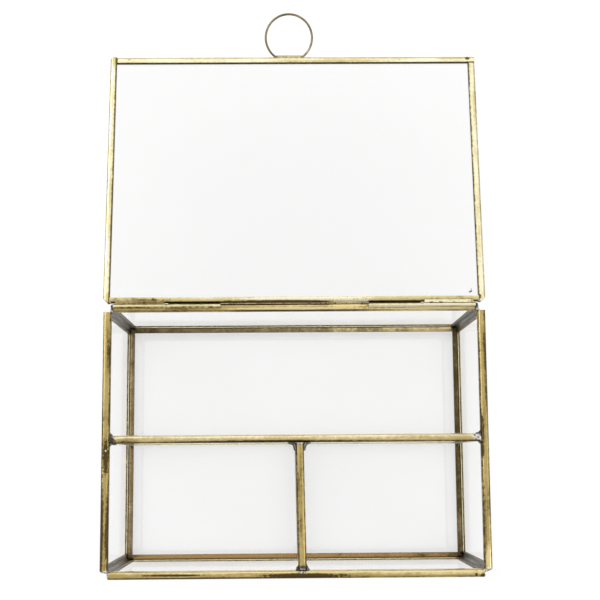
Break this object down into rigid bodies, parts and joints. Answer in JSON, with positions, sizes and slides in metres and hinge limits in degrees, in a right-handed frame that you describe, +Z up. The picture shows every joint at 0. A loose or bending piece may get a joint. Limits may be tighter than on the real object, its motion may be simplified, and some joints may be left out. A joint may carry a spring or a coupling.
{
  "type": "jewelry box",
  "caption": "Clear glass jewelry box framed in brass channel, with a hinged glass lid lying open, a wire ring pull and inner dividers.",
  "frame": {"origin": "middle of the underside of the box, where it stands on a table", "axes": "+Z up; +Y from the front wall back to the hinges, the way the open lid lies; +X to the right of someone who stands in front of the box"},
  "size_m": [0.18, 0.2727, 0.0721],
  "materials": {
    "glass": "clear sheet glass, 3 mm",
    "rim_brass": "antique brass, mottled, with brown patina",
    "base_brass": "dull browned brass",
    "divider_brass": "satin brass",
    "lid_brass": "pale satin brass, mottled",
    "hinge_brass": "pale brass tube and wire",
    "pull_brass": "tarnished brass wire",
    "solder": "dull grey tin solder with streaks"
  },
  "bodies": {
    "box": {"base_glass": "glass", "base_channel": "base_brass", "front_glass": "glass", "front_top_rail": "rim_brass", "front_bottom_rail": "rim_brass", "front_left_stile": "rim_brass", "front_right_stile": "rim_brass", "back_glass": "glass", "back_top_rail": "rim_brass", "back_bottom_rail": "rim_brass", "back_left_stile": "rim_brass", "back_right_stile": "rim_brass", "left_glass": "glass", "left_top_rail": "rim_brass", "left_bottom_rail": "rim_brass", "left_front_stile": "rim_brass", "left_back_stile": "rim_brass", "right_glass": "glass", "right_top_rail": "rim_brass", "right_bottom_rail": "rim_brass", "right_front_stile": "rim_brass", "right_back_stile": "rim_brass", "long_divider_glass": "glass", "long_divider_top_rail": "divider_brass", "long_divider_bottom_rail": "divider_brass", "long_divider_left_stile": "divider_brass", "long_divider_right_stile": "divider_brass", "short_divider_glass": "glass", "short_divider_top_rail": "divider_brass", "short_divider_bottom_rail": "divider_brass", "short_divider_front_stile": "divider_brass", "short_divider_back_stile": "divider_brass", "corner_solder": "solder", "base_solder": "solder", "divider_solder": "solder", "hinge_left_box_knuckle": "hinge_brass", "hinge_right_box_knuckle": "hinge_brass", "hinge_left_pin": "hinge_brass", "hinge_right_pin": "hinge_brass", "hinge_box_solder": "solder"},
    "lid": {"lid_glass": "glass", "lid_front_rail": "lid_brass", "lid_hinge_rail": "lid_brass", "lid_left_rail": "lid_brass", "lid_right_rail": "lid_brass", "hinge_left_lid_knuckle": "hinge_brass", "hinge_right_lid_knuckle": "hinge_brass", "hinge_lid_solder": "solder", "pull_ring": "pull_brass", "pull_solder": "solder"}
  },
  "joints": [
    {"name": "lid_hinge", "type": "hinge", "parent": "box", "child": "lid", "pos_m": [0, 0.0623, 0.0711], "axis": [1, 0, 0], "range_deg": [0, 186]}
  ]
}
